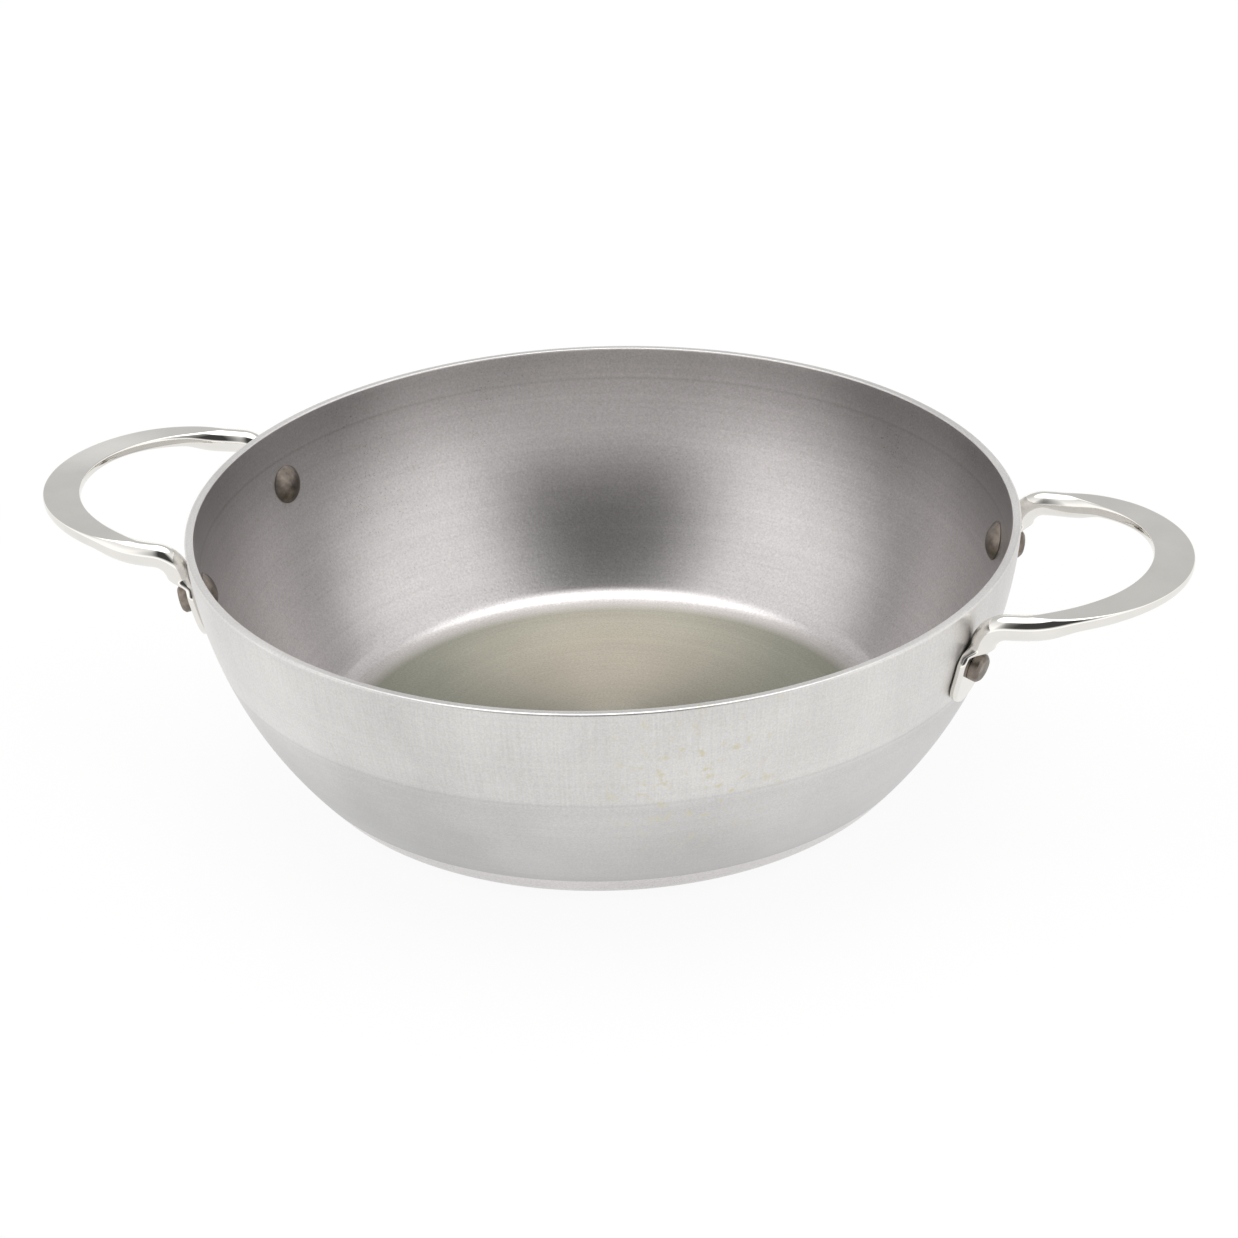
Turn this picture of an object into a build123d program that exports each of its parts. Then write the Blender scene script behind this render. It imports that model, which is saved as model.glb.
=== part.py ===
from build123d import *

import os
from math import asin, atan2, cos, degrees, pi, radians, sin, sqrt, tan

# A flat-bottomed kadai: one deep bowl pressed from steel sheet, and two looped bar handles,
# each held by two rivets that pass through the wall and the handle's flattened ends.
# The origin is the centre of the base. The handles lie along X. "rear" is +Y, "front" is -Y.
# Lengths are millimetres and angles are degrees.

# Bowl
rim_diameter = 280.0
bowl_height = 88.0
base_diameter = 190.0  # the flat that stands on the hob
sheet = 3.0
base_corner_radius = 14.0
rim_lean = 4.0  # how far the wall still leans outwards where it ends
rim_outer_round = 0.9
rim_inner_round = 0.5

# Riveted tab at each end of a handle's bar
rivet_drop = 21.5  # from the rim down to the rivet
tab_width = 17.0
tab_thickness = 2.8
tab_foot = 14.0  # from the rivet down to the rounded end
tab_margin = 0.2  # between the rivet's tail and the shoulder where the tab starts to thicken
neck_rise = 10.6  # from the shoulder up to where the neck's line meets the arm's

# Handle bar
rod_diameter = 8.3
arm_spacing = 91.6
arm_rise = 1.6  # the arms climb a little on their way out
bend_radius = 8.0
handle_reach = 57.6  # beyond the rim
grip_width = 13.6
grip_thickness = 2.6
grip_bank = 6.0  # the grip's outer edge lies lower than its inner edge

# How square a section's corners are: 0 is a circle and 1 a rectangle
flattened = 0.88
rounded = 0.01

# How fast the bar thins and widens from the arm to the middle of the grip
thinning_power = 3
widening_power = 1.7

# Rivet
shank_diameter = 8.0
head_diameter = 13.6
head_height = 3.2
tail_diameter = 9.6
tail_height = 3.4
tail_chamfer = 0.8

# Fits
seat_gap = 0.1  # tab on wall, head on wall, tail on tab
hole_gap = 0.1  # all round the shank
overrun = 2.0  # how far a cutting form runs past what it cuts

# Shares of the way along each stretch of the bar, where its sections stand
tab_shares = (0.0, 0.5, 1.0)
neck_shares = (0.0, 0.25, 0.5, 0.75, 1.0)
bow_shares = (0.12, 0.24, 0.36, 0.48, 0.6, 0.72, 0.86)

# The wall is one arc in section. It meets the base corner and the rim without a kink.
rim_radius = rim_diameter / 2
base_radius = base_diameter / 2
lean = radians(rim_lean)
arc_run = rim_radius - base_radius
arc_climb = bowl_height - base_corner_radius
wall_radius = (arc_run**2 + arc_climb**2 - base_corner_radius**2) / (
    2 * (arc_run * cos(lean) - arc_climb * sin(lean) - base_corner_radius)
)
wall_centre_x = rim_radius - wall_radius * cos(lean)
wall_centre_z = bowl_height + wall_radius * sin(lean)
corner_lean = atan2(wall_centre_z - base_corner_radius, base_radius - wall_centre_x)


def wall_point(lean_angle, out=0.0):
    """A point of the wall's section, in radius and height, where the wall leans so far."""
    reach = wall_radius + out
    return wall_centre_x + reach * cos(lean_angle), wall_centre_z - reach * sin(lean_angle)


def rim_point(out=0.0):
    """The same at the rim's height."""
    reach = wall_radius + out
    return wall_centre_x + sqrt(reach**2 - (wall_centre_z - bowl_height) ** 2), bowl_height


def corner_point(lean_angle, out=0.0):
    """A point of the base corner's section."""
    reach = base_corner_radius + out
    return base_radius + reach * cos(lean_angle), base_corner_radius - reach * sin(lean_angle)


def bowl_outline(grow=0.0):
    """Half the bowl's section, its inner and outer faces moved apart by grow."""
    inner = -sheet - grow
    wall_half = (corner_lean + lean) / 2
    corner_half = (corner_lean + pi / 2) / 2
    under, floor = (base_radius, -grow), (base_radius, sheet + grow)
    Polyline((0, -grow), under)
    ThreePointArc(under, corner_point(corner_half, grow), corner_point(corner_lean, grow))
    ThreePointArc(corner_point(corner_lean, grow), wall_point(wall_half, grow), rim_point(grow))
    Line(rim_point(grow), rim_point(inner))
    ThreePointArc(rim_point(inner), wall_point(wall_half, inner), corner_point(corner_lean, inner))
    ThreePointArc(corner_point(corner_lean, inner), corner_point(corner_half, inner), floor)
    Polyline(floor, (0, sheet + grow), (0, -grow))


# The wall's own space with the seat gap added, which trims whatever sits against it
with BuildPart() as wall_form:
    with BuildSketch(Plane.XZ):
        with BuildLine():
            bowl_outline(seat_gap)
        make_face()
    revolve(axis=Axis.Z)

# Rivet seat of the right handle's rear arm, on the outside of the wall. Above the tab's shoulder
# a straight neck rises in line with the wall there, to the corner where it meets the arm.
rod_radius = rod_diameter / 2
tab_shoulder = tail_diameter / 2 + tab_margin
seat_lean = asin((wall_centre_z - bowl_height + rivet_drop) / wall_radius)
neck_lean = seat_lean - tab_shoulder / wall_radius
shoulder_radius, shoulder_height = wall_point(neck_lean)
neck_out = seat_gap + rod_radius
corner_radius = shoulder_radius + neck_out * cos(neck_lean) + neck_rise * sin(neck_lean)
seat_turn = asin(arm_spacing / 2 / corner_radius)
radial = Vector(cos(seat_turn), sin(seat_turn), 0)
across = Vector(-sin(seat_turn), cos(seat_turn), 0)
upright = Vector(0, 0, 1)


def wall_frame(lean_angle):
    """Point on the wall over the rivet, with the wall's outward and upward directions."""
    radius, height = wall_point(lean_angle)
    outward = radial * cos(lean_angle) - upright * sin(lean_angle)
    upward = radial * sin(lean_angle) + upright * cos(lean_angle)
    return radial * radius + upright * height, outward, upward


seat, seat_out, seat_up = wall_frame(seat_lean)
shoulder, neck_back, neck_up = wall_frame(neck_lean)
seat_plane = Plane(origin=seat, x_dir=across, z_dir=seat_out)
rivet_plane = Plane(origin=seat, x_dir=across, z_dir=seat_up * -1)
tab_sag = (tab_width / 2) ** 2 / (2 * shoulder_radius)  # the wall's curve across the tab

# The arm, and the bend that turns the bar from the neck into it
arm_along = Vector(cos(radians(arm_rise)), 0, sin(radians(arm_rise)))
arm_top = Vector(-arm_along.Z, 0, arm_along.X)
arm_side = Vector(0, 1, 0)
corner = shoulder + neck_back * neck_out + neck_up * neck_rise
bend_turn = neck_up.get_angle(arm_along)
bend_reach = bend_radius * tan(radians(bend_turn / 2))
bend_side = neck_up.cross(arm_along).normalized()
bend_inward = (arm_along - neck_up * neck_up.dot(arm_along)).normalized()
bend_start = corner - neck_up * bend_reach
bend_end = corner + arm_along * bend_reach
bend_axis = Axis(bend_start + bend_inward * bend_radius, bend_side)

# The bow is half an ellipse between the two arms.
half_span = arm_spacing / 2
bow_centre = bend_end - arm_side * half_span
bow_depth = (rim_radius + handle_reach - grip_width / 2 - bend_end.X) / arm_along.X


class Station:
    """One section of the bar: where it stands, which way it faces and its size."""

    def __init__(self, centre, along, side, width, thickness, square=rounded, sag=0.0):
        self.plane = Plane(origin=centre, x_dir=side, z_dir=along)
        self.width = width
        self.thickness = thickness
        self.square = square
        self.sag = sag

    def mirrored(self):
        """The same section on the front half, for a bar that runs on through the grip."""
        centre, along, side = (
            Vector(v.X, -v.Y, v.Z) for v in (self.plane.origin, self.plane.z_dir, self.plane.x_dir)
        )
        return Station(centre, along * -1, side, self.width, self.thickness, self.square, self.sag)

    def section(self):
        """Four arcs through the middles of the sides and the corners, which square moves out."""
        draw_in = (1 - self.square) * (1 - sqrt(1 / 2))
        x = self.width / 2 * (1 - draw_in)
        y = self.thickness / 2 * (1 - draw_in)
        top, low = y + self.sag, -y + self.sag
        with BuildSketch(self.plane, mode=Mode.PRIVATE) as section:
            with BuildLine():
                ThreePointArc((-x, top), (0, self.thickness / 2), (x, top))
                ThreePointArc((x, top), (self.width / 2, self.sag), (x, low))
                ThreePointArc((x, low), (0, -self.thickness / 2), (-x, low))
                ThreePointArc((-x, low), (-self.width / 2, self.sag), (-x, top))
            make_face()
        return section.sketch


def tab_station(share):
    """A section of the tab, from below its foot to its shoulder. It follows the wall both ways."""
    climb = (tab_foot + overrun + tab_shoulder) * share - tab_foot - overrun
    point, outward, upward = wall_frame(seat_lean - climb / wall_radius)
    centre = point + outward * (seat_gap + tab_thickness / 2)
    return Station(centre, upward, across, tab_width, tab_thickness, flattened, tab_sag)


def neck_station(share):
    """A section of the neck, where the tab draws in and thickens into the round bar.

    The bar's back stays in line with the tab's.
    """
    ease = share**2 * (3 - 2 * share)
    width = tab_width + (rod_diameter - tab_width) * ease
    thickness = tab_thickness + (rod_diameter - tab_thickness) * ease
    square = flattened + (rounded - flattened) * ease
    side = (across * (1 - ease) + bend_side * ease).normalized()
    climb = (neck_rise - bend_reach) * share
    centre = shoulder + neck_up * climb + neck_back * (seat_gap + thickness / 2)
    return Station(centre, neck_up, side, width, thickness, square, tab_sag * (1 - ease))


def bow_station(share):
    """A section of the bow, from the arm at 0 to the middle of the grip at 1.

    The bar's top stays level while it thins, and it widens and banks towards the middle.
    """
    turn = pi / 2 * share
    thin = 1 - (1 - share) ** thinning_power
    widen = sin(turn) ** widening_power
    width = rod_diameter + (grip_width - rod_diameter) * widen
    thickness = rod_diameter + (grip_thickness - rod_diameter) * thin
    outward = (arm_along * (half_span * sin(turn)) + arm_side * (bow_depth * cos(turn))).normalized()
    along = (arm_along * (bow_depth * cos(turn)) - arm_side * (half_span * sin(turn))).normalized()
    centre = bow_centre + arm_along * (bow_depth * sin(turn)) + arm_side * (half_span * cos(turn))
    centre += arm_top * ((rod_diameter - thickness) / 2)
    bank = radians(grip_bank * widen)
    side = outward * cos(bank) - arm_top * sin(bank)
    square = rounded + (flattened - rounded) * thin
    return Station(centre, along, side, width, thickness, square)


bend_start_station = Station(bend_start, neck_up, bend_side, rod_diameter, rod_diameter)
bend_end_station = Station(bend_end, arm_along, bend_side, rod_diameter, rod_diameter)
half_bow = [bend_end_station] + [bow_station(share) for share in bow_shares]
bow_stations = half_bow + [bow_station(1)] + [station.mirrored() for station in reversed(half_bow)]

# Bowl
with BuildPart() as bowl:
    with BuildSketch(Plane.XZ):
        with BuildLine():
            bowl_outline()
        make_face()
    revolve(axis=Axis.Z)
    rim_edges = bowl.edges().filter_by(GeomType.CIRCLE).group_by(Axis.Z)[-1].sort_by(SortBy.LENGTH)
    fillet(rim_edges[-1], rim_outer_round)
    rim_edges = bowl.edges().filter_by(GeomType.CIRCLE).group_by(Axis.Z)[-1].sort_by(SortBy.LENGTH)
    fillet(rim_edges[0], rim_inner_round)
    for side in (1, -1):
        for end in (1, -1):
            hole_at = Vector(seat.X * side, seat.Y * end, seat.Z)
            hole_along = Vector(seat_out.X * side, seat_out.Y * end, seat_out.Z)
            with BuildSketch(Plane(origin=hole_at, z_dir=hole_along)):
                Circle(shank_diameter / 2 + hole_gap)
            extrude(amount=sheet + overrun, both=True, mode=Mode.SUBTRACT)

# One end of a handle's bar: the tab with its rivet hole and rounded foot, the neck and the bend
with BuildPart() as bar_end:
    loft([tab_station(share).section() for share in tab_shares])
    loft([neck_station(share).section() for share in neck_shares])
    add(bend_start_station.section())
    revolve(axis=bend_axis, revolution_arc=bend_turn)
    add(wall_form.part, mode=Mode.SUBTRACT)
    with BuildSketch(seat_plane):
        foot_straight = tab_foot - tab_width / 2
        cut_width = tab_width + 2 * overrun
        Rectangle(cut_width, tab_foot + 2 * overrun, align=(Align.CENTER, Align.MAX))
        Rectangle(cut_width, foot_straight, align=(Align.CENTER, Align.MAX), mode=Mode.SUBTRACT)
        with Locations((0, -foot_straight)):
            Circle(tab_width / 2, mode=Mode.SUBTRACT)
        Circle(shank_diameter / 2 + hole_gap)
    extrude(amount=tab_thickness + overrun, both=True, mode=Mode.SUBTRACT)

# Handles
with BuildPart() as handle_right:
    loft([station.section() for station in bow_stations])
    add(bar_end.part)
    mirror(bar_end.part, about=Plane.XZ)

with BuildPart() as handle_left:
    mirror(handle_right.part, about=Plane.YZ)

# Rivets: a domed head inside the bowl, the shank, and the tail upset against the tab
with BuildPart() as rivet_right_rear:
    with BuildSketch(rivet_plane):
        with BuildLine():
            inner_face = -sheet - seat_gap
            crown = (0, inner_face - head_height)
            brim = (head_diameter / 2, inner_face)
            TangentArc(crown, brim, tangent=(1, 0))
            Polyline(brim, (head_diameter / 2, -sheet / 2), (0, -sheet / 2), crown)
        make_face()
    revolve(axis=Axis(seat, seat_out))
    add(wall_form.part, mode=Mode.SUBTRACT)
    with BuildSketch(rivet_plane):
        with BuildLine():
            shank_start = inner_face - head_height / 2
            tail_seat = 2 * seat_gap + tab_thickness
            tail_end = tail_seat + tail_height
            Polyline(
                (0, shank_start),
                (shank_diameter / 2, shank_start),
                (shank_diameter / 2, tail_seat),
                (tail_diameter / 2, tail_seat),
                (tail_diameter / 2, tail_end - tail_chamfer),
                (tail_diameter / 2 - tail_chamfer, tail_end),
                (0, tail_end),
                close=True,
            )
        make_face()
    revolve(axis=Axis(seat, seat_out))

with BuildPart() as rivet_right_front:
    mirror(rivet_right_rear.part, about=Plane.XZ)

with BuildPart() as rivet_left_rear:
    mirror(rivet_right_rear.part, about=Plane.YZ)

with BuildPart() as rivet_left_front:
    mirror(rivet_right_front.part, about=Plane.YZ)

pieces = {
    "bowl": bowl,
    "handle_right": handle_right,
    "handle_left": handle_left,
    "rivet_right_rear": rivet_right_rear,
    "rivet_right_front": rivet_right_front,
    "rivet_left_rear": rivet_left_rear,
    "rivet_left_front": rivet_left_front,
}
os.makedirs("parts", exist_ok=True)
for name, piece in pieces.items():
    piece.part.label = name
    export_step(piece.part, f"parts/{name}.step")
    print(name, "volume", round(piece.part.volume), "solids", len(piece.part.solids()))
print("wall arc", round(wall_radius, 1), "corner lean", round(degrees(corner_lean), 1))
print("arm drop", round(bowl_height - corner.Z, 2), "neck", round(neck_rise - bend_reach, 2))
print("bow", round(bow_depth, 2), "deep and", round(half_span, 2), "to each side")
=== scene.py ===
"""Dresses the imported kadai: the pressed steel bowl, two looped bar handles and four rivets.

Each operator models one kind of piece from its settings, in the shared frame and in metres.
"""

import math

import bpy
from bpy.props import FloatProperty, FloatVectorProperty, IntProperty, PointerProperty
from mathutils import Matrix, Vector


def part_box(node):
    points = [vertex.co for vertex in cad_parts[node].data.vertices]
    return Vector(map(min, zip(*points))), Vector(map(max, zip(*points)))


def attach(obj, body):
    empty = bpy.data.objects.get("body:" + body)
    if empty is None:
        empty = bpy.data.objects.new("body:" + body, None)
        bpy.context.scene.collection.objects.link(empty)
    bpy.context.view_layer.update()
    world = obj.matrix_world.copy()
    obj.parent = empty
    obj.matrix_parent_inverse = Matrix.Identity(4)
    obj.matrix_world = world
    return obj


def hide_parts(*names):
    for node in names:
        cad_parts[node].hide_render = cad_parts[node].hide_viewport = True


bl_info = {
    "name": "Kadai",
    "version": (1, 0, 0),
    "blender": (4, 5, 0),
    "location": "3D View > Sidebar > Kadai",
    "description": "A flat-bottomed steel kadai with two riveted bar handles",
    "category": "Add Mesh",
}

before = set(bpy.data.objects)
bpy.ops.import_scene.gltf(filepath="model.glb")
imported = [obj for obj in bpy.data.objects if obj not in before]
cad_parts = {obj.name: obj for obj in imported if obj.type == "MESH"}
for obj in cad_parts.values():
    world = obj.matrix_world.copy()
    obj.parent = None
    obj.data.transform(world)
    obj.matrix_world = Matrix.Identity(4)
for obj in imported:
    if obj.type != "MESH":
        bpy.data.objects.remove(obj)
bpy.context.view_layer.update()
MM = 0.001
MERGE_DISTANCE = 0.001 * MM


# Settings


class BowlSettings(bpy.types.PropertyGroup):
    rim_diameter: FloatProperty(
        name="Rim Diameter", description="Across the rim's outer edge", default=0.280, unit="LENGTH"
    )
    height: FloatProperty(
        name="Height",
        description="From the hob to the rim",
        default=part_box("bowl")[1].z,
        unit="LENGTH",
    )
    base_diameter: FloatProperty(
        name="Base Diameter",
        description="Across the flat that stands on the hob",
        default=0.190,
        unit="LENGTH",
    )
    sheet: FloatProperty(
        name="Sheet", description="Thickness of the steel", default=0.003, unit="LENGTH"
    )
    base_corner: FloatProperty(
        name="Base Corner",
        description="Outer radius between base and wall",
        default=0.014,
        unit="LENGTH",
    )
    rim_lean: FloatProperty(
        name="Rim Lean",
        description="How far the wall still leans out at the rim",
        default=math.radians(4),
        unit="ROTATION",
    )
    rim_outer_round: FloatProperty(
        name="Outer Round",
        description="Radius on the rim's outer edge",
        default=0.0009,
        unit="LENGTH",
    )
    rim_inner_round: FloatProperty(
        name="Inner Round",
        description="Radius on the rim's inner edge",
        default=0.0005,
        unit="LENGTH",
    )
    facets: IntProperty(name="Facets", description="Faces around the bowl", default=256, min=24)
    outside_colour: FloatVectorProperty(
        name="Outside",
        description="Steel of the wall outside",
        default=(0.665, 0.65, 0.635),
        subtype="COLOR",
        min=0,
        max=1,
    )
    pressed_colour: FloatVectorProperty(
        name="Pressed Zone",
        description="Steel below the press ring",
        default=(0.62, 0.61, 0.605),
        subtype="COLOR",
        min=0,
        max=1,
    )
    inside_colour: FloatVectorProperty(
        name="Inside",
        description="Steel inside",
        default=(0.63, 0.605, 0.60),
        subtype="COLOR",
        min=0,
        max=1,
    )
    # The floor's middle: its warm cooking tint, made lighter as a painted highlight.
    floor_tint_and_highlight_colour: FloatVectorProperty(
        name="Cooking Floor",
        description="Steel where the floor is warmest",
        default=(0.475, 0.435, 0.36),
        subtype="COLOR",
        min=0,
        max=1,
    )
    floor_edge_colour: FloatVectorProperty(
        name="Floor Edge",
        description="Steel round the cooking floor",
        default=(0.285, 0.288, 0.235),
        subtype="COLOR",
        min=0,
        max=1,
    )
    wax_colour: FloatVectorProperty(
        name="Wax",
        description="Traces of protective wax outside",
        default=(0.62, 0.58, 0.40),
        subtype="COLOR",
        min=0,
        max=1,
    )
    # Middle of the floor's warm tint and painted highlight, behind the centre.
    tint_and_highlight_place: FloatVectorProperty(
        name="Tint Place",
        description="Middle of the warm tint on the floor",
        default=(-0.011, 0.044, 0.0),
        subtype="TRANSLATION",
    )
    wax_place: FloatVectorProperty(
        name="Wax Place",
        description="Middle of the traces of wax",
        default=(0.059, -0.119, 0.060),
        subtype="TRANSLATION",
    )


class HandleSettings(bpy.types.PropertyGroup):
    rod_diameter: FloatProperty(
        name="Rod", description="Diameter of the round bar", default=0.0083, unit="LENGTH"
    )
    arm_spacing: FloatProperty(
        name="Arm Spacing",
        description="Between the two arms' centre lines",
        default=0.0916,
        unit="LENGTH",
    )
    arm_rise: FloatProperty(
        name="Arm Rise",
        description="How much the arms climb outwards",
        default=math.radians(1.6),
        unit="ROTATION",
    )
    bend_radius: FloatProperty(
        name="Bend Radius", description="From the neck into the arm", default=0.008, unit="LENGTH"
    )
    reach: FloatProperty(name="Reach", description="Beyond the rim", default=0.0575, unit="LENGTH")
    grip_width: FloatProperty(
        name="Grip Width", description="Width of the flat grip", default=0.0136, unit="LENGTH"
    )
    grip_thickness: FloatProperty(
        name="Grip Thickness",
        description="Thickness of the flat grip",
        default=0.0026,
        unit="LENGTH",
    )
    grip_bank: FloatProperty(
        name="Grip Bank",
        description="How far the grip's outer edge tips down",
        default=math.radians(6),
        unit="ROTATION",
    )
    edge_round: FloatProperty(
        name="Edge Round",
        description="Radius along the grip's and tabs' edges",
        default=0.0003,
        unit="LENGTH",
    )
    tab_width: FloatProperty(
        name="Tab Width", description="Width of the riveted tab", default=0.017, unit="LENGTH"
    )
    tab_thickness: FloatProperty(
        name="Tab Thickness",
        description="Thickness of the riveted tab",
        default=0.0028,
        unit="LENGTH",
    )
    tab_foot: FloatProperty(
        name="Tab Foot",
        description="From the rivet down to the rounded end",
        default=0.014,
        unit="LENGTH",
    )
    tab_margin: FloatProperty(
        name="Tab Margin",
        description="From the rivet's tail up to the shoulder",
        default=0.0002,
        unit="LENGTH",
    )
    neck_rise: FloatProperty(
        name="Neck Rise",
        description="From the shoulder up to the arm's line",
        default=0.0106,
        unit="LENGTH",
    )
    colour: FloatVectorProperty(
        name="Colour",
        description="Polished steel",
        default=(0.80, 0.78, 0.74),
        subtype="COLOR",
        min=0,
        max=1,
    )


class RivetSettings(bpy.types.PropertyGroup):
    drop: FloatProperty(
        name="Drop", description="From the rim down to the rivet", default=0.0215, unit="LENGTH"
    )
    shank_diameter: FloatProperty(
        name="Shank", description="Diameter in the hole", default=0.008, unit="LENGTH"
    )
    head_diameter: FloatProperty(
        name="Head", description="Diameter inside the bowl", default=0.0136, unit="LENGTH"
    )
    head_height: FloatProperty(
        name="Head Height", description="Crown above the wall", default=0.0032, unit="LENGTH"
    )
    tail_diameter: FloatProperty(
        name="Tail", description="Diameter outside", default=0.0096, unit="LENGTH"
    )
    tail_height: FloatProperty(
        name="Tail Height", description="Above the tab", default=0.0034, unit="LENGTH"
    )
    tail_chamfer: FloatProperty(
        name="Tail Chamfer", description="Around the tail's end", default=0.0008, unit="LENGTH"
    )
    seat_gap: FloatProperty(
        name="Seat Gap",
        description="Clearance between seated pieces",
        default=0.0001,
        unit="LENGTH",
    )
    colour: FloatVectorProperty(
        name="Colour",
        description="Dark rivet steel",
        default=(0.21, 0.18, 0.155),
        subtype="COLOR",
        min=0,
        max=1,
    )


class StageSettings(bpy.types.PropertyGroup):
    heading: FloatProperty(
        name="Heading",
        description="How far the camera is turned about Z",
        default=math.radians(14.271),
        unit="ROTATION",
    )
    pitch: FloatProperty(
        name="Pitch",
        description="How far it looks down",
        default=math.radians(27.752),
        unit="ROTATION",
    )
    roll: FloatProperty(
        name="Roll",
        description="Turn about its own axis",
        default=math.radians(-1.804),
        unit="ROTATION",
    )
    camera_place: FloatVectorProperty(
        name="Camera",
        description="Where the camera stands",
        default=(0.26479, -1.02324, 0.60286),
        subtype="XYZ",
    )
    lens: FloatProperty(name="Lens", description="Focal length in millimetres", default=101.78)
    floor_size: FloatProperty(
        name="Floor", description="Side of the floor", default=12.0, unit="LENGTH"
    )
    ceiling_level: FloatProperty(
        name="Ceiling", description="Brightness of the softbox overhead", default=3.2
    )
    side_level: FloatProperty(
        name="Sides", description="Brightness to the left and right", default=1.3
    )
    back_level: FloatProperty(
        name="Back", description="Brightness high up behind the object", default=0.66
    )
    front_level: FloatProperty(
        name="Front", description="Brightness of the dark room round the camera", default=0.06
    )


# Modelling by operators


def start_piece(name):
    """Takes the primitive just added into edit mode, all selected, with its place in its mesh."""
    piece = bpy.context.object
    piece.name = piece.data.name = name
    bpy.ops.object.transform_apply(location=True, rotation=True, scale=True)
    bpy.ops.object.mode_set(mode="EDIT")
    bpy.ops.mesh.select_mode(type="VERT")
    bpy.ops.mesh.select_all(action="SELECT")
    return piece


def deselect_all():
    bpy.ops.object.select_all(action="DESELECT")


def select_faces(piece, wanted):
    """Selects the faces that the test picks, and nothing else, in edit mode."""
    bpy.ops.mesh.select_mode(type="FACE")
    bpy.ops.mesh.select_all(action="DESELECT")
    bpy.ops.object.mode_set(mode="OBJECT")
    for face in piece.data.polygons:
        face.select = wanted(face)
    bpy.ops.object.mode_set(mode="EDIT")


def select_vertices(piece, wanted):
    """Selects the vertices whose place the test picks, and nothing else, in edit mode."""
    bpy.ops.mesh.select_mode(type="VERT")
    bpy.ops.mesh.select_all(action="DESELECT")
    bpy.ops.object.mode_set(mode="OBJECT")
    for vertex in piece.data.vertices:
        vertex.select = wanted(vertex.co)
    bpy.ops.object.mode_set(mode="EDIT")


def finish_piece(smooth_angle):
    """Back to object mode, with normals outwards and smooth shading between the crisp edges."""
    bpy.ops.mesh.select_all(action="SELECT")
    bpy.ops.mesh.remove_doubles(threshold=MERGE_DISTANCE)
    bpy.ops.mesh.normals_make_consistent(inside=False)
    bpy.ops.mesh.select_all(action="DESELECT")
    bpy.ops.object.mode_set(mode="OBJECT")
    bpy.ops.object.shade_smooth_by_angle(angle=smooth_angle)


def hand_over(piece, node, materials):
    """The piece stands for its CAD node, on the only body."""
    piece.data.materials.clear()
    for material in materials:
        piece.data.materials.append(material)
    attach(piece, "root")
    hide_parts(node)


def copy_mirrored(piece, name, flip):
    """A copy of a finished piece with its own mesh, mirrored by flip, with its faces outwards."""
    deselect_all()
    piece.select_set(True)
    bpy.context.view_layer.objects.active = piece
    bpy.ops.object.duplicate(linked=False)
    copy = bpy.context.object
    copy.name = copy.data.name = name
    copy.scale = flip
    bpy.ops.object.transform_apply(location=False, rotation=False, scale=True)
    bpy.ops.object.mode_set(mode="EDIT")
    bpy.ops.mesh.select_all(action="SELECT")
    bpy.ops.mesh.normals_make_consistent(inside=False)
    bpy.ops.object.mode_set(mode="OBJECT")
    return copy


# The wall, one arc in section, which the bowl, the tabs and the rivets share


class Wall:
    """The bowl's outer wall: one arc that meets the base corner and the rim without a kink."""

    def __init__(self, bowl):
        self.bowl = bowl
        self.rim_radius = bowl.rim_diameter / 2
        self.base_radius = bowl.base_diameter / 2
        run = self.rim_radius - self.base_radius
        climb = bowl.height - bowl.base_corner
        corner, lean = bowl.base_corner, bowl.rim_lean
        self.radius = (run**2 + climb**2 - corner**2) / (
            2 * (run * math.cos(lean) - climb * math.sin(lean) - corner)
        )
        self.centre_x = self.rim_radius - self.radius * math.cos(lean)
        self.centre_z = bowl.height + self.radius * math.sin(lean)
        self.corner_lean = math.atan2(self.centre_z - corner, self.base_radius - self.centre_x)

    def point(self, lean, out=0.0):
        """Radius and height where the wall leans so far."""
        reach = self.radius + out
        return self.centre_x + reach * math.cos(lean), self.centre_z - reach * math.sin(lean)

    def corner_point(self, lean, out=0.0):
        """Radius and height on the base corner, from the wall's lean there down to the base."""
        reach = self.bowl.base_corner + out
        radius = self.base_radius + reach * math.cos(lean)
        return radius, self.bowl.base_corner - reach * math.sin(lean)

    def lean_at(self, height, out=0.0):
        """How far the wall leans out at this height."""
        return math.asin((self.centre_z - height) / (self.radius + out))

    def frame(self, turn, lean):
        """Point, outward and upward directions on the wall, so far round from +X."""
        radial = Vector((math.cos(turn), math.sin(turn), 0))
        up = Vector((0, 0, 1))
        radius, height = self.point(lean)
        outward = radial * math.cos(lean) - up * math.sin(lean)
        upward = radial * math.sin(lean) + up * math.cos(lean)
        return radial * radius + up * height, outward, upward


def steps(count):
    """Shares from just after 0 up to 1."""
    return [(i + 1) / count for i in range(count)]


def between(low, high, share):
    return low + (high - low) * share


def ease(share):
    """Slow at both ends, held at 0 and 1 beyond them."""
    share = min(max(share, 0.0), 1.0)
    return share * share * (3 - 2 * share)


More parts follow.
